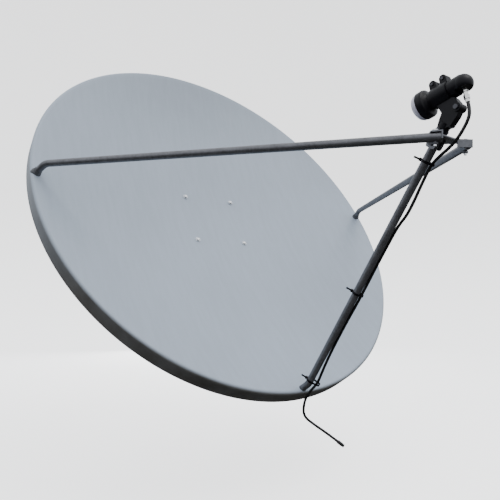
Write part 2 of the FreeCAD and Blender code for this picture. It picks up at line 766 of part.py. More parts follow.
def cross_bracket():
    """A folded plate over both strut ends: a lip across the end of each, and two tabs beside the boom."""
    wall = BRACKET_WALL
    front, lips = [], []
    for side, ends in ((-1, (LIP_OUT, -LIP_IN)), (1, (-LIP_IN, LIP_OUT))):
        front += [strut_end(side, -LIP_GAP - wall, across) for across in ends]
        start, stop = [Vector(*strut_end(side, -LIP_GAP, across), 0) for across in ends]
        lip = box(f"bracket_lip_{side + 1}", (0, 0, 0), (LIP_IN + LIP_OUT, wall, 15 + wall))
        lip.Placement = Placement(start - Z * 15, Rotation(X, stop - start))
        lips.append(lip)
    top = plate(
        "bracket_top",
        [strut_end(-1, 21, 9), *front, strut_end(1, 21, 9), (20, -64), (-20, -64)],
        wall,
        corner_radius=2,
    )
    pierce(top, "bracket_bolt_holes", 3.3, [strut_end(side, BOLT_BACK, 0) for side in (-1, 1)])
    base = bracket_place().inverse()
    boom_end = base.multVec(DISH.multVec(BOOM_TOP + BOOM_AXIS * 60))
    boom_start = base.multVec(DISH.multVec(BOOM_TOP - BOOM_AXIS * 60))
    along = (boom_end - boom_start).normalize()
    boom_place = Placement(boom_start, Rotation(Z, along))
    clear = cylinder("boom_clearance", size["tube_radius"] + 0.25, 160, boom_place)
    bolt_at = base.multVec(DISH.multVec(BOOM_TOP + BOOM_AXIS * BOOM_BOLT_AT))
    tabs = []
    for side in (-1, 1):
        low = mm["tube_radius"] + 0.4 if side > 0 else -mm["tube_radius"] - 0.4 - wall
        tab = plate(
            f"tab_{side + 1}",
            [(-13, -11), (13, -11), (13, 18), (-13, 18)],
            wall,
            corner_radius=6,
        )
        turn = Rotation(X, along.cross(X), along, "ZXY") * Rotation(Y, Z, X, "XYZ")
        tab.Placement = Placement(Vector(low, bolt_at.y, bolt_at.z), turn)
        tabs.append(tab)
    across = cylinder("tab_holes", 3.3, 60, Placement(Vector(-30, bolt_at.y, bolt_at.z), Rotation(Z, X)))
    blank_plate = fuse("bracket_blank", top, *lips, *tabs)
    keep(cut("bracket", blank_plate, clear, across), "cross_bracket", bracket_place())

    bolt = hex_bolt("end_bolt", 3, 32, 5.8, 4.2)
    nut = hex_nut("end_nut", 5.8, 3, 5)
    heads, nuts = [], []
    for side in (-1, 1):
        at = Vector(*strut_end(side, BOLT_BACK, 0))
        down = Rotation(X, 180)
        heads.append(bracket_place() * Placement(at + Vector(0, 0, wall), down))
        nuts.append(bracket_place() * Placement(at + Vector(0, 0, -2 * mm["tube_radius"] - 0.2), down))
    copies("strut_end_bolts", bolt, heads)
    copies("strut_end_nuts", nut, nuts)

    reach = mm["tube_radius"] + 0.4 + wall
    at = BOOM_TOP + BOOM_AXIS * BOOM_BOLT_AT
    long_bolt = hex_bolt("boom_bolt_blank", 3, 2 * reach + 8, 5.8, 4.2)
    copies("boom_bolt", long_bolt, [aim(DISH, at - X * reach, X)])
    copies("boom_nut", nut, [aim(DISH, at + X * reach, X)])


# ---------------------------------------------------------------- feed

RING_START, RING_END = 42.0, 82.0
LUG_HEIGHT, LUG_RADIUS = 32.0, 8.5
LUG_AT = (49.0, 75.0)
NECK_GAP = 0.05
BOSS_AT = Vector(0, -410.0, 783.0)


def feed_holder():
    """A moulded arm: a socket over the boom's end, a web, and a split ring around the neck."""
    ring_length = RING_END - RING_START
    ring = Part.makeCylinder(mm["holder_ring_radius"], ring_length, Vector(0, 0, RING_START))
    for z in LUG_AT:
        lug = Part.makeCylinder(LUG_RADIUS, 20, Vector(-10, LUG_HEIGHT, z), X)
        stem = Part.makeBox(20, LUG_HEIGHT - 18, 2 * LUG_RADIUS, Vector(-10, 18, z - LUG_RADIUS))
        ring = ring.fuse(lug).fuse(stem)
    ring.Placement = DISH.inverse() * FEED
    side = [(-414, 718), (-399, 737), (-391, 750), (-368, 752), (-380, 785), (-387, 791), (-401, 791),
            (-416, 788), (-425, 770), (-431, 747), (-426, 739), (-426, 730)]
    corners = [Vector(-9, y, z) for y, z in side]
    web = Part.Face(Part.makePolygon(corners + corners[:1])).extrude(Vector(18, 0, 0))
    socket = Part.makeCylinder(13.6, 25, BOOM_TOP + BOOM_AXIS * 33, BOOM_AXIS)
    boss = Part.makeCylinder(9.5, 26, BOSS_AT - X * 13, X)
    arm = ring.fuse([web, socket, boss]).removeSplitter()
    neck = Part.makeCylinder(mm["neck_radius"] + NECK_GAP, 120, Vector(0, 0, 10))
    slit = Part.makeBox(3, 60, ring_length + 2, Vector(-1.5, 0, RING_START - 1))
    tools = [neck, slit] + [Part.makeCylinder(2.7, 40, Vector(-20, LUG_HEIGHT, z), X) for z in LUG_AT]
    for tool in tools:
        tool.Placement = DISH.inverse() * FEED
        arm = arm.cut(tool)
    bore_start = BOOM_TOP - BOOM_AXIS * 9.5
    boom_bore = Part.makeCylinder(mm["tube_radius"] + 0.05, BOOM_TOP_END + 10, bore_start, BOOM_AXIS)
    screw = Part.makeCylinder(3.3, 60, BOOM_TOP + BOOM_AXIS * HOLDER_BOLT_AT - X * 30, X)
    eye = Part.makeCylinder(3.3, 60, BOSS_AT - X * 30, X)
    solid("feed_holder", arm.cut(boom_bore).cut(screw).cut(eye), DISH)

    pinch = hex_bolt("pinch_blank", 2.5, 26, 3.6, 2.6)
    pinch_nut = hex_nut("pinch_nut", 4.4, 2.5, 4)
    places = [Vector(-10, LUG_HEIGHT, z) for z in LUG_AT]
    copies("pinch_screws", pinch, [aim(FEED, p, X) for p in places])
    copies("pinch_nuts", pinch_nut, [aim(FEED, p + X * 20, X) for p in places])
    cross = hex_bolt("holder_bolt_blank", 3, 34, 5.8, 4.2)
    nut = hex_nut("holder_nut_blank", 5.8, 3, 5)
    at = BOOM_TOP + BOOM_AXIS * HOLDER_BOLT_AT
    copies("holder_bolts", cross, [aim(DISH, at - X * 13.7, X), aim(DISH, BOSS_AT - X * 13, X)])
    copies("holder_nuts", nut, [aim(DISH, at + X * 13.7, X), aim(DISH, BOSS_AT + X * 13, X)])


PORT_AT = 112.5  # along the feed axis
BODY_START, COVER_START = 86.0, 98.0
TAIL_CENTRE, TAIL_RADIUS = Vector(0, -2.0, 111.5), 21.5
TAIL_FLOOR = -13.5  # the flat underside that the port comes out of
CASE_RADIUS, CASE_WALL = 20.5, 2.2


def tail_form(inset):
    """The rounded rear of the converter with a flat floor, set in by a distance."""
    radius = CASE_RADIUS - inset
    tube = Part.makeCylinder(radius, TAIL_CENTRE.z - COVER_START, Vector(0, 0, COVER_START))
    form = tube.fuse(Part.makeSphere(TAIL_RADIUS - inset, TAIL_CENTRE))
    front = Part.makeBox(100, 100, 60, Vector(-50, -50, COVER_START - 60))
    below = Part.makeBox(100, 60, 100, Vector(-50, TAIL_FLOOR + inset - 60, COVER_START - 10))
    return form.cut(front).cut(below)


def converter():
    neck, flange = size["neck_radius"], size["horn_radius"]
    horn = turned(
        "horn",
        [
            (27.5, 14), (31.5, 14), (31.5, 10.5), (flange, 10.5), (flange, 23), (flange - 1.2, 26.5),
            (flange - 4, 28.8), (26, 30), (23, 31.5), (neck, 34), (neck, BODY_START), (9.5, BODY_START),
            (9.5, 40), (22, 17), (27.5, 17),
        ],
    )
    keep(horn, "feed_horn", FEED)
    seal = turned("seal", [(29.6, 12.5), (31.3, 12.5), (31.3, 14), (29.6, 14)])
    keep(seal, "cap_seal", FEED)
    cap = turned(
        "cap",
        [
            (0, -9), (8, -8.8), (16, -7.8), (23, -5.6), (28, -2), (30.8, 2.6), (31.4, 7), (31.4, 12.5),
            (29.6, 12.5), (29.6, 7), (28.9, 3.4), (26.5, -0.4), (22, -3.6), (15.5, -5.7), (8, -6.7), (0, -7),
        ],
    )
    keep(cap, "feed_cap", FEED)

    housing = Part.makeCylinder(CASE_RADIUS, COVER_START - BODY_START, Vector(0, 0, BODY_START))
    room = Part.makeCylinder(CASE_RADIUS - CASE_WALL, COVER_START - BODY_START, Vector(0, 0, BODY_START + 3))
    guide = Part.makeCylinder(9.5, 10, Vector(0, 0, BODY_START - 2))
    solid("converter_body", housing.cut(room).cut(guide), FEED)

    hole = Part.makeCylinder(5.2, 20, Vector(0, TAIL_FLOOR - 10, PORT_AT), Y)
    solid("rear_cover", tail_form(0.0).cut(tail_form(CASE_WALL)).cut(hole), FEED)

    board = box("board", (-15, -7.6, BODY_START + 4), (30, 1.6, 27))
    keep(board, "circuit_board", FEED * board.Placement)
    outside = box("can_outside", (-13, -6, 93), (26, 11, 20))
    can = cut("can", outside, box("can_inside", (-12.4, -6, 93.6), (24.8, 10.4, 18.8)))
    keep(can, "screening_lid", FEED)
    pin = cylinder("pin", 0.7, 14)
    copies("probe_pins", pin, [aim(FEED, Vector(x, -5.3, 78), Z) for x in (-2.6, 2.6)])

    collar = prism("port_collar", 6.6, 8)
    barrel = cylinder("port_barrel", 4.7, 26, Placement(Vector(0, 0, -3), Rotation()))
    keep(fuse("port", collar, barrel), "coax_port", aim(FEED, Vector(0, TAIL_FLOOR - 0.05, PORT_AT), Y * -1))


# ---------------------------------------------------------------- lead

PLUG_START, PLUG_END = 28.6, 45.5  # below the feed axis
LEAD_GAP = 0.5  # the plug turns with the converter, clear of the lead's end
BOOM_SIDE = Vector(0.582, -0.753, 0.298)  # the side of the boom that the lead runs down

# Each tie: its station up the boom from the bend, how far off the boom it lets the lead lie, and
# its slack around the lead.
TIES = ((14.0, 7.5, 2.4), (314.0, 0.0, 0.3), (680.0, 0.0, 2.6))


def beside_boom(station, away=0.0):
    """A point of the lead beside the boom at a station, held off its surface by a distance."""
    side = (BOOM_SIDE - BOOM_AXIS * BOOM_SIDE.dot(BOOM_AXIS)).normalize()
    reach = mm["tube_radius"] + mm["lead_radius"] + 0.3 + away
    return BOOM_BEND + BOOM_AXIS * station + side * reach


def lead_points():
    """The lead's route in the row frame, from the plug to its far end."""
    start = PLUG_END + LEAD_GAP
    plug = [FEED.multVec(Vector(0, -start - run, PORT_AT)) for run in (0, 21)]
    down = [beside_boom(station, away) for station, away in BOOM_RUN]
    return plug + [DISH.multVec(p) for p in LEAD_LOOP + down + LEAD_TAIL]


LEAD_LOOP = [
    Vector(0, -448.5, 779),
    Vector(1, -460.5, 745),
    Vector(3, -462, 715),
    Vector(6, -458, 690),
]
# Stations up the boom, and how far the lead lies off the boom there.
BOOM_RUN = [
    (680, 0), (630, 1.0), (568, 5.0), (512, 4.5), (452, 0.6), (385, 0.9), (314, 0),
    (240, 1.2), (170, 0.5), (105, 1.2), (55, 3.5), (14, 7.5),
]
LEAD_TAIL = [
    Vector(5.5, -715, 10),
    Vector(3, -729, -22.5),
    Vector(6.5, -760.5, -54),
    Vector(35, -791, -53.5),
    Vector(68, -824, -50),
    Vector(91.5, -849.5, -49),
]


def lead():
    points = lead_points()
    path, length, radii = rounded_path(points)
    direction = (points[1] - points[0]).normalize()
    ring = Part.Wire(Part.Circle(points[0], direction, mm["lead_radius"]).toShape())
    tube = path.makePipeShell([ring], True, False)
    expected = math.pi * mm["lead_radius"] ** 2 * length
    print(f"lead: {length:.0f} mm long, volume {tube.Volume / expected:.4f} of section times length")
    print("lead radii:", " ".join(f"{r:.0f}" for r in radii))
    solid("lead", tube)

    plug_nut = prism("plug_nut", 6.4, 10)
    ferrule = cylinder("plug_ferrule", 4.6, PLUG_END - PLUG_START)
    bore = cylinder("plug_bore", 4.75, 8)
    plug = cut("plug", fuse("plug_blank", plug_nut, ferrule), bore)
    keep(plug, "coax_plug", aim(FEED, Vector(0, -PLUG_START, PORT_AT), Y * -1))

    end, before = points[-1], points[-2]
    boot = turned(
        "connector",
        [(0, 0), (4.4, 0), (5.2, 2), (5.2, 15), (4.6, 16), (4.6, 22),
         (3.8, 22), (3.8, 17), (0.5, 17), (0.5, 20), (0, 20)],
    )
    keep(boot, "lead_connector", Placement(end, Rotation(Z, (end - before).normalize())))


def cable_ties():
    """A strap around the boom and the lead at each station, with its head and a cut tail."""
    side = (BOOM_SIDE - BOOM_AXIS * BOOM_SIDE.dot(BOOM_AXIS)).normalize()
    upward = BOOM_AXIS.cross(side)
    ties = []
    for station, away, slack in TIES:
        place = Placement(BOOM_BEND + BOOM_AXIS * station, Rotation(side, upward, BOOM_AXIS, "ZXY"))
        ties.append(tie(place, away, slack))
    solid("cable_ties", Part.makeCompound(ties), DISH)


def tie(place, away, slack):
    """Local X points from the boom's axis to the lead, which lies off the boom by a distance."""
    wide, thick = 5.6, 1.6
    boom_radius, lead_radius = mm["tube_radius"] + 0.25, mm["lead_radius"] + slack
    lead_x = mm["tube_radius"] + mm["lead_radius"] + 0.3 + away
    outer = hull(boom_radius + thick, lead_radius + thick, lead_x, wide)
    inner = hull(boom_radius, lead_radius, lead_x, wide)
    band = outer.cut(inner)
    head = Part.makeBox(6, 5, wide + 2, Vector(-boom_radius - 6.2, -2.5, -wide / 2 - 1))
    tail = Part.makeBox(13, thick, wide - 1, Vector(-boom_radius - 19, -0.65, -wide / 2 + 0.5))
    whole = band.fuse(head).fuse(tail).removeSplitter()
    whole.Placement = place
    return whole


def hull(big, small, apart, wide):
    """The outline of a belt around two circles, as a solid centred on Z = 0."""
    angle = math.acos((big - small) / apart)
    a = Vector(big * math.cos(angle), big * math.sin(angle), 0)
    b = Vector(apart + small * math.cos(angle), small * math.sin(angle), 0)
    a2, b2 = Vector(a.x, -a.y, 0), Vector(b.x, -b.y, 0)
    edges = [
        Part.makeLine(a, b),
        Part.Arc(b, Vector(apart + small, 0, 0), b2).toShape(),
        Part.makeLine(b2, a2),
        Part.Arc(a2, Vector(-big, 0, 0), a).toShape(),
    ]
    shape = Part.Face(Part.Wire(edges)).extrude(Vector(0, 0, wide))
    shape.translate(Vector(0, 0, -wide / 2))
    return shape


# ---------------------------------------------------------------- build and write


def check_document():
    doc.recompute()
    for obj in doc.Objects:
        bad = [state for state in obj.State if state in ("Invalid", "Error")]
        if bad:
            raise RuntimeError(f"{obj.Label} is {bad}")
    for obj in finished:
        if obj.Shape.isNull() or not obj.Shape.isValid() or not obj.Shape.Solids:
            raise RuntimeError(f"{obj.Label} has no valid solid")
        if any(s.Volume <= 0 for s in obj.Shape.Solids):
            raise RuntimeError(f"{obj.Label} has a solid with no volume")


def write_parts():
    os.makedirs("parts", exist_ok=True)
    for obj in finished:
        obj.Shape.exportStep(f"parts/{obj.Label}.step")


reflector()
face_fasteners()
back_plate()
cheeks()
mast_channel()
elevation_bolts()
mast_clamp()
struts()
feet()
boom()
cross_bracket()
feed_holder()
converter()
lead()
cable_ties()
check_document()
write_parts()
print(f"{len(finished)} nodes written")
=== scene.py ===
import json
import math

import bpy
from mathutils import Matrix, Vector


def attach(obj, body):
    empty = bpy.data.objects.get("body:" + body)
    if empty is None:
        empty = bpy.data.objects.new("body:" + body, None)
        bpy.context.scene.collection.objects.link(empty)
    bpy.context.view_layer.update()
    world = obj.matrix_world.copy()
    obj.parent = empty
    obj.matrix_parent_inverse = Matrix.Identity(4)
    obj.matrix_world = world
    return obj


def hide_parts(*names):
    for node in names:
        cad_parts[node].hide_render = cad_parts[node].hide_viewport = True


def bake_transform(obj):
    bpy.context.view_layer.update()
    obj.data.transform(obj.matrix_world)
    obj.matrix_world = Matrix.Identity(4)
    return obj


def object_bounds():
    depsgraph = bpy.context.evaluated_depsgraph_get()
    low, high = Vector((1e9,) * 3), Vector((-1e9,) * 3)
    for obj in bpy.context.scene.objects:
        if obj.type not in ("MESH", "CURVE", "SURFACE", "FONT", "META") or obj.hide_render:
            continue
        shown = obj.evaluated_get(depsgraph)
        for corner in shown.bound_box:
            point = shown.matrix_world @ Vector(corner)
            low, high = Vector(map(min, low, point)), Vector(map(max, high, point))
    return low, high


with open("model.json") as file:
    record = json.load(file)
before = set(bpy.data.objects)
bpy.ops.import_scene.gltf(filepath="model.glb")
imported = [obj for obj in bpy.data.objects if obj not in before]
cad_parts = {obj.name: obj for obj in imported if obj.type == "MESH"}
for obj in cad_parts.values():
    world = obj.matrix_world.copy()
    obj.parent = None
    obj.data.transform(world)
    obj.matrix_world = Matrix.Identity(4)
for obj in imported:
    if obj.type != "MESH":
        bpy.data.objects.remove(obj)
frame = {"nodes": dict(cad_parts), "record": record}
CAD_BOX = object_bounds()

# Lengths are in millimetres of the dish frame or the feed frame, unless a name ends in _M or a
# docstring says metres. Angles are in degrees where they are written as numbers.
# Dish frame: origin at the middle of the rim, X to the right, Y up the face, Z out of the face.
# Feed frame: origin at the focus, Z away from the dish along the feed's axis.

NODES = frame["nodes"]
MM = Matrix.Scale(0.001, 4)
DISH_WIDTH = 1350.0
FOCAL_LENGTH = 804.6
APERTURE_OFFSET = 542.3
SHEET = 1.5
SKIRT_DEPTH = 60.0
LIP_RADIUS = 9.0
FACE_ELEVATION = 32.07
RIM_CENTRE_M = Vector((0, -0.303013, 0.153073))
TUBE_RADIUS = 9.8
LEAD_RADIUS = 3.7
SHARP_ANGLE = 32

FACE_TILT = math.atan(APERTURE_OFFSET / (2 * FOCAL_LENGTH))
RIM_X = DISH_WIDTH / 2
RIM_Y = RIM_X / math.cos(FACE_TILT)
LEAN = Matrix.Rotation(math.radians(90 - FACE_ELEVATION), 4, "X")
DISH = Matrix.Translation(RIM_CENTRE_M) @ LEAN @ MM


def dish(point):
    """A point of the dish frame, in metres of the row frame."""
    return DISH @ Vector(point)


def axes_matrix(x, y, z, origin):
    turn = Matrix((x, y, z)).transposed().to_4x4()
    return Matrix.Translation(origin) @ turn


def vertex_matrix():
    """From the paraboloid's own frame, with its vertex at the origin, to the dish frame."""
    height = (APERTURE_OFFSET**2 + RIM_X**2) / (4 * FOCAL_LENGTH)
    offset = Vector((0, APERTURE_OFFSET, height))
    return (Matrix.Translation(offset) @ Matrix.Rotation(FACE_TILT, 4, "X")).inverted()


VERTEX = vertex_matrix()
FOCUS = VERTEX @ Vector((0, 0, FOCAL_LENGTH))
FEED_AXIS = Vector((0, -0.363, 0.932)).normalized()
FEED = DISH @ axes_matrix(Vector((1, 0, 0)), FEED_AXIS.cross(Vector((1, 0, 0))), FEED_AXIS, FOCUS)


def feed(point):
    """A point of the feed frame, in metres of the row frame."""
    return FEED @ Vector(point)


def face_height(x, y):
    """Z of the reflecting face at a point of the dish frame."""
    vertex = VERTEX.inverted() @ Vector((x, y, 0))
    tilt_sin, tilt_cos, four_f = math.sin(FACE_TILT), math.cos(FACE_TILT), 4 * FOCAL_LENGTH
    half = vertex.y * tilt_sin + four_f * tilt_cos / 2
    rest = x * x + vertex.y**2 - four_f * vertex.z
    return (half - math.sqrt(half**2 - tilt_sin**2 * rest)) / tilt_sin**2


# ---------------------------------------------------------------- materials


class Look:
    """A material whose nodes are added one by one."""

    def __init__(self, name, roughness=0.5, metallic=0.0, coat=0.0, specular=0.5):
        self.material = bpy.data.materials.new(name)
        self.material.use_nodes = True
        self.nodes = self.material.node_tree.nodes
        self.links = self.material.node_tree.links
        self.shader = self.nodes["Principled BSDF"]
        self.shader.inputs["Roughness"].default_value = roughness
        self.shader.inputs["Metallic"].default_value = metallic
        self.shader.inputs["Coat Weight"].default_value = coat
        self.shader.inputs["Specular IOR Level"].default_value = specular
        self.place = self.nodes.new("ShaderNodeTexCoord").outputs["Object"]
        self.height = None

    def stretched(self, scale):
        mapping = self.nodes.new("ShaderNodeMapping")
        mapping.inputs["Scale"].default_value = scale
        self.links.new(self.place, mapping.inputs["Vector"])
        return mapping.outputs["Vector"]

    def noise(self, scale, detail=4.0, roughness=0.6, place=None):
        node = self.nodes.new("ShaderNodeTexNoise")
        node.inputs["Scale"].default_value = scale
        node.inputs["Detail"].default_value = detail
        node.inputs["Roughness"].default_value = roughness
        self.links.new(place or self.place, node.inputs["Vector"])
        return node.outputs["Fac"]

    def cells(self, scale):
        node = self.nodes.new("ShaderNodeTexVoronoi")
        node.inputs["Scale"].default_value = scale
        self.links.new(self.place, node.inputs["Vector"])
        return node.outputs["Color"]

    def facing_down(self):
        """Grows from none on an upright surface to full on one that looks at the ground: the mask
        of the painted shade on undersides.
        """
        normal = self.nodes.new("ShaderNodeTexCoord").outputs["Normal"]
        split = self.nodes.new("ShaderNodeSeparateXYZ")
        self.links.new(normal, split.inputs["Vector"])
        spread = self.nodes.new("ShaderNodeMapRange")
        spread.inputs["From Min"].default_value = 0.36
        spread.inputs["From Max"].default_value = -0.4
        self.links.new(split.outputs["Z"], spread.inputs["Value"])
        return spread.outputs["Result"]

    def ramp(self, factor, stops):
        node = self.nodes.new("ShaderNodeValToRGB")
        elements = node.color_ramp.elements
        while len(elements) < len(stops):
            elements.new(0.5)
        for element, (position, color) in zip(elements, stops):
            element.position = position
            element.color = (*color, 1.0)
        self.links.new(factor, node.inputs["Fac"])
        return node.outputs["Color"]

    def mix(self, factor, first, second, blend="MIX"):
        node = self.nodes.new("ShaderNodeMix")
        node.data_type = "RGBA"
        node.blend_type = blend
        for socket, value in (("Factor", factor), ("A", first), ("B", second)):
            target = [s for s in node.inputs if s.name == socket and s.enabled][0]
            if isinstance(value, bpy.types.NodeSocket):
                self.links.new(value, target)
            elif isinstance(value, tuple):
                target.default_value = (*value, 1.0)
            else:
                target.default_value = value
        return [s for s in node.outputs if s.enabled][0]

    def color(self, output):
        self.links.new(output, self.shader.inputs["Base Color"])
        return self

    def vary_roughness(self, factor, low, high):
        node = self.nodes.new("ShaderNodeMapRange")
        node.inputs["To Min"].default_value = low
        node.inputs["To Max"].default_value = high
        self.links.new(factor, node.inputs["Value"])
        self.links.new(node.outputs["Result"], self.shader.inputs["Roughness"])
        return self

    def bump(self, factor, distance, strength=0.5):
        node = self.nodes.new("ShaderNodeBump")
        node.inputs["Distance"].default_value = distance
        node.inputs["Strength"].default_value = strength
        self.links.new(factor, node.inputs["Height"])
        if self.height is not None:
            self.links.new(self.height, node.inputs["Normal"])
        self.height = node.outputs["Normal"]
        self.links.new(self.height, self.shader.inputs["Normal"])
        return self


def tones(base, spread):
    """A darker and a lighter shade of a colour."""
    return tuple(c * (1 - spread) for c in base), tuple(min(1, c * (1 + spread)) for c in base)


def powder_coat():
    look = Look("powder_coat", roughness=0.5, specular=0.4)
    dark, light = tones((0.405, 0.468, 0.548), 0.035)
    broad = look.noise(2.2, detail=2, roughness=0.4)
    base = look.ramp(broad, [(0.35, dark), (0.65, light)])
    streaks = look.noise(7, detail=6, place=look.stretched((9.0, 1.2, 1.2)))
    rained = look.ramp(streaks, [(0.40, (0.93, 0.93, 0.93)), (0.62, (1.0, 1.0, 1.0))])
    base = look.mix(0.6, base, rained, "MULTIPLY")
    specks = look.ramp(look.noise(260, detail=2), [(0.30, (0.82, 0.82, 0.82)), (0.37, (1, 1, 1))])
    base = look.mix(0.5, base, specks, "MULTIPLY")
    # Painted shade: surfaces that face down are multiplied by a noisy brown between a darker and
    # a lighter tone, standing in for the shade beneath the dish and its skirt.
    shade_deep, shade_soft = (0.30, 0.245, 0.195), (0.52, 0.455, 0.39)
    painted_shade = look.ramp(look.noise(14, detail=7), [(0.25, shade_deep), (0.75, shade_soft)])
    look.color(look.mix(look.facing_down(), base, look.mix(1.0, base, painted_shade, "MULTIPLY")))
    look.vary_roughness(look.noise(30), 0.42, 0.6)
    look.bump(look.noise(4.5, detail=2), 0.006, 0.25)
    return look.bump(look.noise(900, detail=1), 0.00008, 0.25).material


def galvanised(name, base, metallic=0.75, low=0.32, high=0.55):
    look = Look(name, metallic=metallic)
    dark, light = tones(base, 0.22)
    spangle = look.ramp(look.cells(190), [(0.2, dark), (0.8, light)])
    dull = look.ramp(look.noise(28, detail=6), [(0.35, dark), (0.65, light)])
    base_color = look.mix(0.6, spangle, dull)
    stains = look.ramp(look.noise(75, detail=8), [(0.55, (1, 1, 1)), (0.75, (0.62, 0.60, 0.57))])
    look.color(look.mix(0.7, base_color, stains, "MULTIPLY"))
    look.vary_roughness(look.noise(55, detail=5), low, high)
    return look.bump(look.noise(420, detail=3), 0.0001, 0.4).material


def plated(name, base, low=0.18, high=0.36):
    look = Look(name, metallic=1.0)
    dark, light = tones(base, 0.1)
    look.color(look.ramp(look.noise(140, detail=5), [(0.3, dark), (0.7, light)]))
    look.vary_roughness(look.noise(320, detail=4), low, high)
    return look.bump(look.noise(900, detail=2), 0.00004, 0.3).material


def moulded(name, base, low=0.35, high=0.5, specular=0.45, grain=1400, coat=0.0):
    look = Look(name, specular=specular, coat=coat)
    dark, light = tones(base, 0.14)
    look.color(look.ramp(look.noise(45, detail=6), [(0.3, dark), (0.7, light)]))
    look.vary_roughness(look.noise(90, detail=5), low, high)
    return look.bump(look.noise(grain, detail=2), 0.00006, 0.35).material


def board_laminate():
    look = Look("board_laminate", roughness=0.35)
    copper = look.ramp(look.cells(260), [(0.45, (0.02, 0.16, 0.07)), (0.5, (0.05, 0.27, 0.12))])
    shade = look.ramp(look.noise(60), [(0.3, (0.8, 0.8, 0.8)), (0.7, (1, 1, 1))])
    look.color(look.mix(0.8, copper, shade, "MULTIPLY"))
    return look.bump(look.noise(500), 0.00005).material


def paper():
    look = Look("paper", roughness=0.9, specular=0.1)
    look.shader.inputs["Emission Color"].default_value = (1, 1, 1, 1)
    look.shader.inputs["Emission Strength"].default_value = 1.5
    dark, light = (0.93, 0.93, 0.93), (0.95, 0.95, 0.95)
    look.color(look.ramp(look.noise(1.5, detail=2), [(0.3, dark), (0.7, light)]))
    return look.material


LOOKS = {
    "face_paint": powder_coat(),
    "galvanised_steel": galvanised("galvanised_steel", (0.16, 0.162, 0.175), 0.55),
    "bracket_steel": galvanised("bracket_steel", (0.17, 0.175, 0.19), 0.6, 0.3, 0.45),
    "bright_zinc": plated("bright_zinc", (0.80, 0.81, 0.82)),
    "dull_zinc": galvanised("dull_zinc", (0.075, 0.075, 0.085), 0.6, 0.35, 0.55),
    "nickel_plate": plated("nickel_plate", (0.82, 0.81, 0.78), 0.14, 0.28),
    "jaw_aluminium": galvanised("jaw_aluminium", (0.62, 0.63, 0.65), 0.85, 0.4, 0.6),
    "black_plastic": moulded("black_plastic", (0.0065, 0.006, 0.0085), 0.32, 0.5, 0.2),
    "foot_plastic": moulded("foot_plastic", (0.10, 0.105, 0.115), 0.45, 0.6),
    "cap_plastic": moulded("cap_plastic", (0.74, 0.72, 0.82), 0.22, 0.34, 0.5, 700, 0.3),
    "seal_rubber": moulded("seal_rubber", (0.02, 0.02, 0.02), 0.6, 0.8),
    "board_laminate": board_laminate(),
    "can_tin": plated("can_tin", (0.75, 0.76, 0.77), 0.25, 0.4),
    "probe_brass": plated("probe_brass", (0.80, 0.60, 0.28)),
    "lead_sheath": moulded("lead_sheath", (0.010, 0.010, 0.011), 0.32, 0.45, 0.5, 900),
}


def dress(obj, slot):
    """Gives a piece the material that LOOKS holds under the name of a record slot."""
    obj.data.materials.clear()
    obj.data.materials.append(LOOKS[slot])
    return obj


def dress_cad_nodes():
    for entry in frame["record"]["subparts"]:
        node = NODES[entry["node"]]
        node.data.materials.clear()
        node.data.materials.append(LOOKS[entry["material_slot"]])
        node.data.polygons.foreach_set("use_smooth", [True] * len(node.data.polygons))
        node.data.set_sharp_from_angle(angle=math.radians(SHARP_ANGLE))


# Width in millimetres of the softened edges of the pressed, cast and moulded pieces.
SOFT_EDGES = {
    "feed_holder": 1.0,
    "converter_body": 0.6,
    "rear_cover": 0.8,
    "cross_bracket": 0.7,
    "back_plate": 0.8,
    "left_cheek": 0.8,
    "right_cheek": 0.8,
    "mast_channel": 0.8,
    "clamp_jaws": 1.2,
    "clamp_straps": 1.0,
    "strut_feet": 0.5,
    "cable_ties": 0.3,
    "coax_plug": 0.3,
    "coax_port": 0.3,
    "face_bolts": 0.3,
}


def soften_edges():
    for name, width in SOFT_EDGES.items():
        bevel = NODES[name].modifiers.new("soft_edges", "BEVEL")
        bevel.width = width / 1000
        bevel.segments = 2
        bevel.limit_method = "ANGLE"
        bevel.angle_limit = math.radians(SHARP_ANGLE)
        bevel.harden_normals = True


# ---------------------------------------------------------------- makers


def piece(name, vertices, faces, slot, sharp=SHARP_ANGLE):
    """A mesh object in the row frame, in metres."""
    mesh = bpy.data.meshes.new(name)
    mesh.from_pydata([tuple(v) for v in vertices], [], faces)
    mesh.validate()
    mesh.polygons.foreach_set("use_smooth", [True] * len(mesh.polygons))
    mesh.set_sharp_from_angle(angle=math.radians(sharp))
    obj = bpy.data.objects.new(name, mesh)
    bpy.context.scene.collection.objects.link(obj)
    return dress(obj, slot)


def grid_faces(rows, columns, start=0):
    """Quads between rows of points, closed around each row."""
    return [
        (
            start + r * columns + c,
            start + r * columns + (c + 1) % columns,
            start + (r + 1) * columns + (c + 1) % columns,
            start + (r + 1) * columns + c,
        )
        for r in range(rows - 1)
        for c in range(columns)
    ]


# ---------------------------------------------------------------- reflector

# How far in from the edge the slope of the face is taken.
SLOPE_NEAR, SLOPE_FAR = 6, 26
# Rows of the skirt below the lip, then its hem as distance inward and height.
SKIRT_ROWS = (-14, -24, -36, -48, -56)
HEM = ((0.4, -58.4), (1.2, -SKIRT_DEPTH), (2.8, -SKIRT_DEPTH), (4.0, -58.6), (4.0, -56.4))


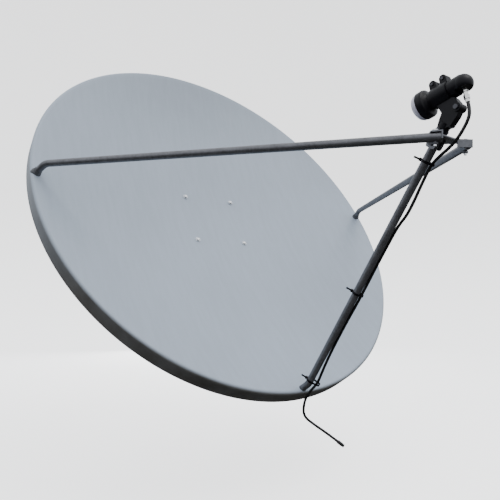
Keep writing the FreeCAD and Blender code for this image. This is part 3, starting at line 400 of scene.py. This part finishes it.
def edge_profile(angle, steps=8):
    """The section of the rim from the face round the lip, down the skirt and round its hem."""
    edge = Vector((RIM_X * math.cos(angle), RIM_Y * math.sin(angle), 0))
    inward = -Vector((math.cos(angle) / RIM_X, math.sin(angle) / RIM_Y, 0)).normalized()
    near, far = edge + inward * SLOPE_NEAR, edge + inward * SLOPE_FAR
    fall = (face_height(near.x, near.y) - face_height(far.x, far.y)) / (SLOPE_FAR - SLOPE_NEAR)
    top = face_height(edge.x, edge.y)
    run = math.hypot(1, fall)
    centre = top - fall * LIP_RADIUS - LIP_RADIUS * run
    lean = math.atan2(fall, 1)
    section = []
    for i in range(steps + 1):
        turn = math.radians(90) - lean + (math.radians(90) + lean) * i / steps
        across = LIP_RADIUS + LIP_RADIUS * math.cos(turn)
        section.append((across, centre + LIP_RADIUS * math.sin(turn)))
    section += [(0, z) for z in SKIRT_ROWS]
    section += HEM
    return [edge + inward * s + Vector((0, 0, z)) for s, z in section]


def reflector():
    """The face, the rolled lip and the hemmed skirt as one sheet, in place of the CAD node."""
    columns, rings = 288, 44
    rims = [edge_profile(2 * math.pi * c / columns) for c in range(columns)]
    points = [Vector((0, 0, face_height(0, 0)))]
    for r in range(1, rings + 1):
        for rim in rims:
            spot = rim[0] * (r / rings)
            points.append(Vector((spot.x, spot.y, face_height(spot.x, spot.y))))
    for step in range(1, len(rims[0])):
        points += [rim[step] for rim in rims]
    rows = rings + len(rims[0]) - 1
    faces = [(0, 1 + c, 1 + (c + 1) % columns) for c in range(columns)]
    faces += [tuple(reversed(f)) for f in grid_faces(rows, columns, 1)]
    obj = piece("reflector_shell", [DISH @ p for p in points], faces, "face_paint", sharp=60)
    skin = obj.modifiers.new("sheet", "SOLIDIFY")
    skin.thickness = SHEET / 1000
    skin.offset = -1
    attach(obj, "dish")
    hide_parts("reflector")
    return obj


# ---------------------------------------------------------------- lead

BOOM_TOP = Vector((0, -434.2, 687.8))
BOOM_BEND = Vector((0, -697.0, 24.5))
BOOM_AXIS = (BOOM_TOP - BOOM_BEND).normalized()
# From the middle of the boom towards the lead, square to the boom.
BOOM_SIDE = Vector((0.582, -0.753, 0.298))
BOOM_SIDE = (BOOM_SIDE - BOOM_AXIS * BOOM_SIDE.dot(BOOM_AXIS)).normalized()
# Along the feed axis to the port, and from the feed axis to the end of the plug.
PORT_AT = 112.5
PLUG_END = 45.5
LEAD_GAP = 0.5
# The lead between the plug and the first tie. From the third point on it follows the dish.
LEAD_LOOP = ((0, -448.5, 779), (1, -460.5, 745), (3, -462, 715), (6, -458, 690))


def beside_boom(station, away, turn=0):
    """A point of the lead beside the boom, in metres, turned round the boom by degrees."""
    reach = TUBE_RADIUS + LEAD_RADIUS + 0.3 + away
    outward = Matrix.Rotation(math.radians(turn), 3, BOOM_AXIS) @ BOOM_SIDE
    return dish(BOOM_BEND + BOOM_AXIS * station + outward * reach)


def lead_route():
    """The control points of the lead, in metres."""
    plug = [feed((0, -PLUG_END - LEAD_GAP - run, PORT_AT)) for run in (0, 21)]
    loop = [dish(p) for p in LEAD_LOOP]
    down = [
        (680, 0), (640, 1.2), (600, 4.0), (566, 5.4), (545, 4.4), (522, 0.4, 10), (492, -0.1, 22),
        (440, -0.1, 22), (385, -0.1, 22), (344, 0, 8), (314, 0), (284, 0, 8), (240, -0.1, 22),
        (170, -0.1, 22), (112, 0.5, 14), (60, 3.3), (14, 7.5),
    ]
    tail = [
        (5.5, -715, 10), (3, -729, -22.5), (6.5, -760.5, -54), (35, -791, -53.5), (68, -824, -50),
        (91.5, -849.5, -49),
    ]
    return plug + loop + [beside_boom(*p) for p in down] + [dish(p) for p in tail]


def smooth_line(name, controls):
    """The points of the NURBS curve with these control points."""
    curve = bpy.data.curves.new(name, "CURVE")
    curve.dimensions = "3D"
    curve.resolution_u = 14
    spline = curve.splines.new("NURBS")
    spline.points.add(len(controls) - 1)
    for point, control in zip(spline.points, controls):
        point.co = (*control, 1.0)
    spline.order_u = 3
    spline.use_endpoint_u = True
    obj = bpy.data.objects.new(name, curve)
    bpy.context.scene.collection.objects.link(obj)
    bpy.context.view_layer.update()
    mesh = bpy.data.meshes.new_from_object(obj)
    line = [v.co.copy() for v in mesh.vertices]
    bpy.data.objects.remove(obj)
    bpy.data.meshes.remove(mesh)
    return line


def sweep(name, line, radius_m, slot, columns=20):
    """A round tube along a line, with flat ends."""
    points, faces = [], []
    side = None
    for i, at in enumerate(line):
        ahead = (line[min(i + 1, len(line) - 1)] - line[max(i - 1, 0)]).normalized()
        if side is None:
            side = ahead.orthogonal().normalized()
        side = (side - ahead * side.dot(ahead)).normalized()
        up = ahead.cross(side)
        for c in range(columns):
            turn = 2 * math.pi * c / columns
            points.append(at + (side * math.cos(turn) + up * math.sin(turn)) * radius_m)
    faces = grid_faces(len(line), columns)
    faces += [tuple(reversed(range(columns))), tuple(range(len(points) - columns, len(points)))]
    return piece(name, points, faces, slot)


def lead():
    """The sheath of the lead, in place of the CAD node, bending between converter and dish."""
    line = smooth_line("lead_line", lead_route())
    sheath = sweep("lead_sheath_tube", line, LEAD_RADIUS / 1000, "lead_sheath")
    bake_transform(sheath)
    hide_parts("lead")
    return sheath


# ---------------------------------------------------------------- room

CAMERA_AT_M = Vector((-0.9636, -1.7596, -0.1874))
CAMERA_FORWARD = Vector((0.5779, 0.8101, 0.0988))
CAMERA_LENS = 35.63
FLOOR_GAP_M = 0.16
ROOM_Y_M = -0.4
FLOOR_REACH_M = 5.5
COVE_RADIUS_M = 2.5
# The wall and ceiling above the cove, as distance out and height.
CEILING_M = ((8.0, 5.0), (8.0, 8.0), (7.0, 11.0), (4.5, 13.2), (0.05, 14.0))
SKY_STRENGTH = 1.45
# Colours of the sky from straight down, at 0, to straight up, at 1.
SKY_SHADES = (
    (0.30, (0.035, 0.035, 0.033)),
    (0.47, (0.09, 0.088, 0.085)),
    (0.56, (0.72, 0.75, 0.80)),
    (1.0, (0.93, 0.96, 1.0)),
)


def camera():
    data = bpy.data.cameras.new("camera")
    data.lens = CAMERA_LENS
    data.sensor_width = 36.0
    obj = bpy.data.objects.new("camera", data)
    bpy.context.scene.collection.objects.link(obj)
    forward = CAMERA_FORWARD.normalized()
    right = forward.cross(Vector((0, 0, 1))).normalized()
    obj.matrix_world = axes_matrix(right, right.cross(forward), -forward, CAMERA_AT_M)
    bpy.context.scene.camera = obj


def area_light(name, at, target, size, power, color):
    """A round lamp, with its places and size in metres."""
    data = bpy.data.lights.new(name, "AREA")
    data.shape = "DISK"
    data.size = size
    data.energy = power
    data.color = color
    obj = bpy.data.objects.new(name, data)
    bpy.context.scene.collection.objects.link(obj)
    obj.location = at
    obj.rotation_euler = (Vector(target) - Vector(at)).to_track_quat("-Z", "Y").to_euler()


def room():
    """A floor that curves up into a backdrop on every side and closes overhead, in metres."""
    low = CAD_BOX[0][2] - FLOOR_GAP_M
    columns, points = 96, [Vector((0, ROOM_Y_M, low))]
    section = [(3.0, 0.0), (FLOOR_REACH_M, 0.0)]
    for degrees in range(15, 91, 15):
        turn = math.radians(degrees)
        out = FLOOR_REACH_M + COVE_RADIUS_M * math.sin(turn)
        section.append((out, COVE_RADIUS_M - COVE_RADIUS_M * math.cos(turn)))
    section += CEILING_M
    for out, up in section:
        for c in range(columns):
            turn = 2 * math.pi * c / columns
            y = ROOM_Y_M + out * math.sin(turn)
            points.append(Vector((out * math.cos(turn), y, low + up)))
    faces = [(0, 1 + c, 1 + (c + 1) % columns) for c in range(columns)]
    faces += [tuple(reversed(f)) for f in grid_faces(len(section), columns, 1)]
    mesh = bpy.data.meshes.new("backdrop")
    mesh.from_pydata([tuple(p) for p in points], [], faces)
    mesh.polygons.foreach_set("use_smooth", [True] * len(faces))
    mesh.materials.append(paper())
    backdrop = bpy.data.objects.new("backdrop", mesh)
    bpy.context.scene.collection.objects.link(backdrop)
    backdrop.visible_diffuse = False
    backdrop.visible_glossy = False
    backdrop.visible_shadow = False


def sky():
    """Light from above, with little from below, so that undersides fall into shade."""
    world = bpy.data.worlds.new("sky")
    bpy.context.scene.world = world
    world.use_nodes = True
    nodes, links = world.node_tree.nodes, world.node_tree.links
    direction = nodes.new("ShaderNodeTexCoord").outputs["Generated"]
    split = nodes.new("ShaderNodeSeparateXYZ")
    links.new(direction, split.inputs["Vector"])
    spread = nodes.new("ShaderNodeMapRange")
    spread.inputs["From Min"].default_value = -1.0
    links.new(split.outputs["Z"], spread.inputs["Value"])
    ramp = nodes.new("ShaderNodeValToRGB")
    elements = ramp.color_ramp.elements
    elements.new(0.5)
    elements.new(0.62)
    for element, (position, color) in zip(elements, SKY_SHADES):
        element.position = position
        element.color = (*color, 1.0)
    links.new(spread.outputs["Result"], ramp.inputs["Fac"])
    background = nodes["Background"]
    background.inputs["Strength"].default_value = SKY_STRENGTH
    links.new(ramp.outputs["Color"], background.inputs["Color"])
    area_light("key", (0.6, -3.6, 4.6), (0, -0.4, 0.1), 3.0, 110, (1.0, 0.99, 0.97))
    area_light("fill", (1.8, 3.4, 0.4), (0, -0.2, 0.1), 2.0, 60, (0.97, 0.98, 1.0))


# ---------------------------------------------------------------- build

dress_cad_nodes()
soften_edges()
reflector()
lead()
camera()
room()
sky()

bpy.context.view_layer.update()
